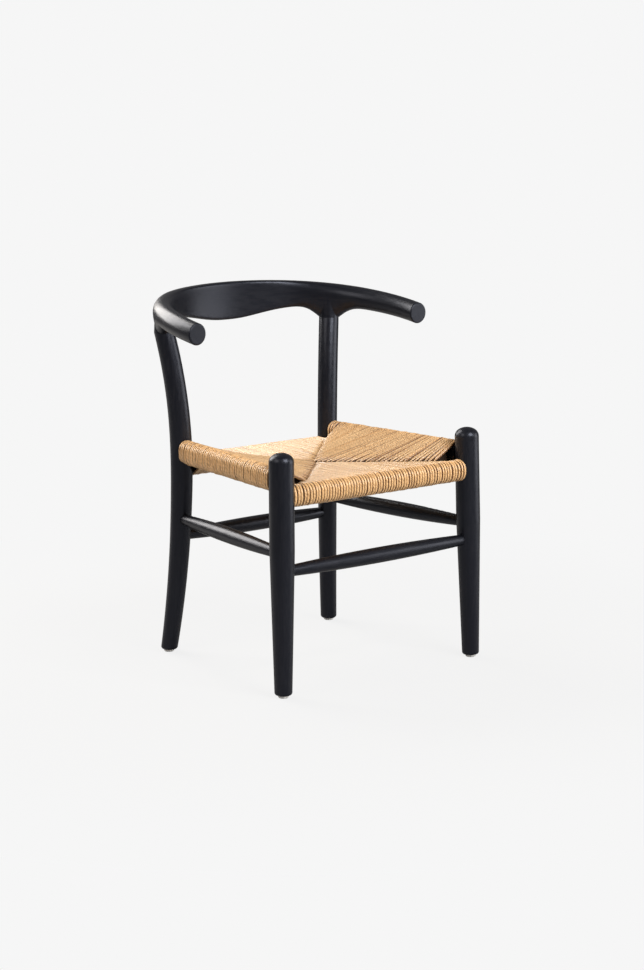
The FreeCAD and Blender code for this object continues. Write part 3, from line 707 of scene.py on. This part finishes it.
def packing_mesh(name, guides):
    """A closed wedge that follows the guide strands of a panel from inside."""
    corners = []
    for guide in guides:
        corners += packing_ring(guide)
    last = len(corners) - PACKING_CORNERS
    faces = []
    for start in range(0, last, PACKING_CORNERS):
        for corner in range(PACKING_CORNERS):
            here = start + corner
            after = start + (corner + 1) % PACKING_CORNERS
            faces.append((here, after, after + PACKING_CORNERS, here + PACKING_CORNERS))
    faces.append(tuple(reversed(range(PACKING_CORNERS))))
    faces.append(tuple(range(last, len(corners))))
    mesh = bpy.data.meshes.new(name)
    mesh.from_pydata(corners, [], faces)
    shell = bmesh.new()
    shell.from_mesh(mesh)
    bmesh.ops.recalc_face_normals(shell, faces=shell.faces)
    shell.to_mesh(mesh)
    shell.free()
    return mesh


def mottled_material(name, pale, dark, scale, relief=None, **values):
    """Material whose tone changes in fine blotches, with relief of a strength and depth if given."""
    material, tree, shader = new_material(name, **values)
    place = add_node(tree, "ShaderNodeTexCoord").outputs["Object"]
    noise = add_node(tree, "ShaderNodeTexNoise")
    set_inputs(noise, Vector=place, Scale=scale, Detail=3.0)
    blotches = noise.outputs["Fac"]
    set_inputs(shader, Base_Color=mix_colours(tree, blotches, (*pale, 1), (*dark, 1)))
    if relief:
        add_relief(tree, shader, blotches, *relief)
    return material


packing_shade_card = mottled_material(
    "packing_shade_card", PACKING_SHADE_BROWN, PACKING_SHADE_DARK, PACKING_MOTTLE, Roughness=PACKING_ROUGHNESS
)
for name, guides in (
    ("seat_front_packing", front_guides()),
    ("seat_rear_packing", rear_guides()),
    ("seat_left_packing", side_guides(-1)[1:]),
    ("seat_right_packing", side_guides(1)[1:]),
):
    mesh = packing_mesh(name, guides)
    mesh.materials.append(packing_shade_card)
    add_seat_piece(name, mesh)

# Foot glides, their nails and the cord tacks: four buttons of pale moulded plastic under the feet, held
# by one zinc-plated nail each, and two broad-headed tacks that hold the ends of the cord to the rails.
GLIDE_IVORY = (0.95, 0.94, 0.91)
GLIDE_SHADE = 0.85
GLIDE_ROUGHNESS = 0.5
ZINC = (0.56, 0.56, 0.58)
ZINC_SHADE = 0.8
ZINC_ROUGHNESS = 0.35
SPECKLE_SCALE = 900.0
SPECKLE_RELIEF = (0.1, 0.0002)


def speckled_material(name, colour, shade, **values):
    """Plain small part with a faint mottled tone and fine relief."""
    dark = [part * shade for part in colour]
    return mottled_material(name, colour, dark, SPECKLE_SCALE, SPECKLE_RELIEF, **values)


glide_plastic = speckled_material("glide_plastic", GLIDE_IVORY, GLIDE_SHADE, Roughness=GLIDE_ROUGHNESS)
zinc_steel = speckled_material("zinc_steel", ZINC, ZINC_SHADE, Metallic=1.0, Roughness=ZINC_ROUGHNESS)
for end in ("front", "rear"):
    for side in ("left", "right"):
        dress(f"foot_glide_{end}_{side}", glide_plastic)
dress("glide_nails", zinc_steel)
dress("cord_tacks", zinc_steel)

# Studio: a plain pale floor that keeps a faint shadow and a white surround that only the camera sees.
# Four square soft lights: a warm one behind, a high one in front, a low one at the front right and a
# weak warm one at the left. The camera stands at the photograph's angle.
BACKDROP_WHITE = 0.922
WORLD_LEVEL = 0.19
WORLD_TINT = (1.0, 0.98, 0.99)
FLOOR_REACH = 30.0
FLOOR_PALE = 0.6
FLOOR_BOUNCE = 0.3
FLOOR_ROUGHNESS = 0.9
SHADOW_SHARE = 0.10
SHADOW_NEAR = 0.35
SHADOW_FAR = 0.95


def grey(level):
    """A colour without a hue."""
    return level, level, level, 1


def mix_shaders(tree, share, first, second):
    """A shader part of the way from one to another."""
    made = add_node(tree, "ShaderNodeMixShader")
    for socket, value in zip(made.inputs, (share, first, second)):
        set_input(socket, value)
    return made.outputs["Shader"]


# the surround: white to the camera, a dim fill light to the chair
world = bpy.data.worlds.new("studio")
bpy.context.scene.world = world
world.use_nodes = True
sky = world.node_tree
sky.nodes.clear()
seen = add_node(sky, "ShaderNodeBackground")
set_inputs(seen, Color=grey(BACKDROP_WHITE), Strength=1.0)
fill = add_node(sky, "ShaderNodeBackground")
set_inputs(fill, Color=(*WORLD_TINT, 1), Strength=WORLD_LEVEL)
to_camera = add_node(sky, "ShaderNodeLightPath").outputs["Is Camera Ray"]
surround = mix_shaders(sky, to_camera, fill.outputs["Background"], seen.outputs["Background"])
set_inputs(add_node(sky, "ShaderNodeOutputWorld"), Surface=surround)

# the floor: as white as the surround to the camera, apart from a share that takes the chair's shadow
floor_corners = [(x * FLOOR_REACH, y * FLOOR_REACH, 0) for x, y in ((-1, -1), (1, -1), (1, 1), (-1, 1))]
floor_mesh = bpy.data.meshes.new("floor")
floor_mesh.from_pydata(floor_corners, [], [(0, 1, 2, 3)])
floor = bpy.data.objects.new("floor", floor_mesh)
bpy.context.scene.collection.objects.link(floor)
pale_floor, ground, matt = new_material("pale_floor", Roughness=FLOOR_ROUGHNESS)
to_camera = add_node(ground, "ShaderNodeLightPath").outputs["Is Camera Ray"]
set_inputs(matt, Base_Color=mix_colours(ground, to_camera, grey(FLOOR_BOUNCE), grey(FLOOR_PALE)))
glow = add_node(ground, "ShaderNodeEmission")
set_inputs(glow, Color=grey(BACKDROP_WHITE), Strength=1.0)
distance = vector_length(ground, add_node(ground, "ShaderNodeTexCoord").outputs["Object"])
plain_share = map_range(ground, distance, SHADOW_NEAR, SHADOW_FAR, 1 - SHADOW_SHARE, 1.0, smooth=True)
glow_share = reckon(ground, "MULTIPLY", to_camera, plain_share)
surface = mix_shaders(ground, glow_share, matt.outputs["BSDF"], glow.outputs["Emission"])
set_inputs(ground.nodes["Material Output"], Surface=surface)
floor_mesh.materials.append(pale_floor)

# the lights
LAMP_WHITE = (1.0, 0.985, 0.97)
LAMP_WARM = (1.0, 0.955, 0.89)
LAMP_AMBER = (1.0, 0.92, 0.83)


def soft_light(name, place, aim_height, size, power, colour):
    """A square studio light aimed at a height above the middle of the floor."""
    lamp = bpy.data.lights.new(name, "AREA")
    lamp.shape = "SQUARE"
    lamp.size = size
    lamp.energy = power
    lamp.color = colour
    holder = bpy.data.objects.new(name, lamp)
    holder.location = place
    way = Vector((0, 0, aim_height)) - Vector(place)
    holder.rotation_euler = way.to_track_quat("-Z", "Y").to_euler()
    bpy.context.scene.collection.objects.link(holder)


soft_light("light_behind", (-0.38, 1.70, 1.38), aim_height=0.4, size=1.5, power=57.0, colour=LAMP_WARM)
soft_light("light_right", (1.85, -1.3, 0.55), aim_height=0.4, size=1.25, power=16.0, colour=LAMP_WHITE)
soft_light("light_left", (-1.9, -0.2, 1.5), aim_height=0.3, size=1.2, power=12.0, colour=LAMP_AMBER)
soft_light("light_front", (0.2, -2.4, 1.85), aim_height=0.3, size=1.5, power=72.0, colour=LAMP_WHITE)

# the camera, with its focal length in pixels of the photograph
PHOTO_WIDTH = 644
FOCAL_PIXELS = 2345.25
CAMERA_AZIMUTH = math.radians(-38.97)
CAMERA_ELEVATION = math.radians(10.88)
CAMERA_TARGET = Vector((-0.01165, -0.06269, 0.26126))
CAMERA_DISTANCE = 3.37568
lens = bpy.data.cameras.new("camera")
lens.sensor_fit = "HORIZONTAL"
lens.lens = lens.sensor_width * FOCAL_PIXELS / PHOTO_WIDTH
lens.clip_end = 2 * FLOOR_REACH
back = Vector((
    math.sin(CAMERA_AZIMUTH) * math.cos(CAMERA_ELEVATION),
    -math.cos(CAMERA_AZIMUTH) * math.cos(CAMERA_ELEVATION),
    math.sin(CAMERA_ELEVATION),
))
right = Vector((math.cos(CAMERA_AZIMUTH), math.sin(CAMERA_AZIMUTH), 0))
up = back.cross(right)
stand = CAMERA_TARGET + back * CAMERA_DISTANCE
camera = bpy.data.objects.new("camera", lens)
camera.matrix_world = Matrix([(right[i], up[i], back[i], stand[i]) for i in range(3)] + [(0, 0, 0, 1)])
bpy.context.scene.collection.objects.link(camera)
bpy.context.scene.camera = camera
bpy.context.scene.view_settings.view_transform = "Standard"
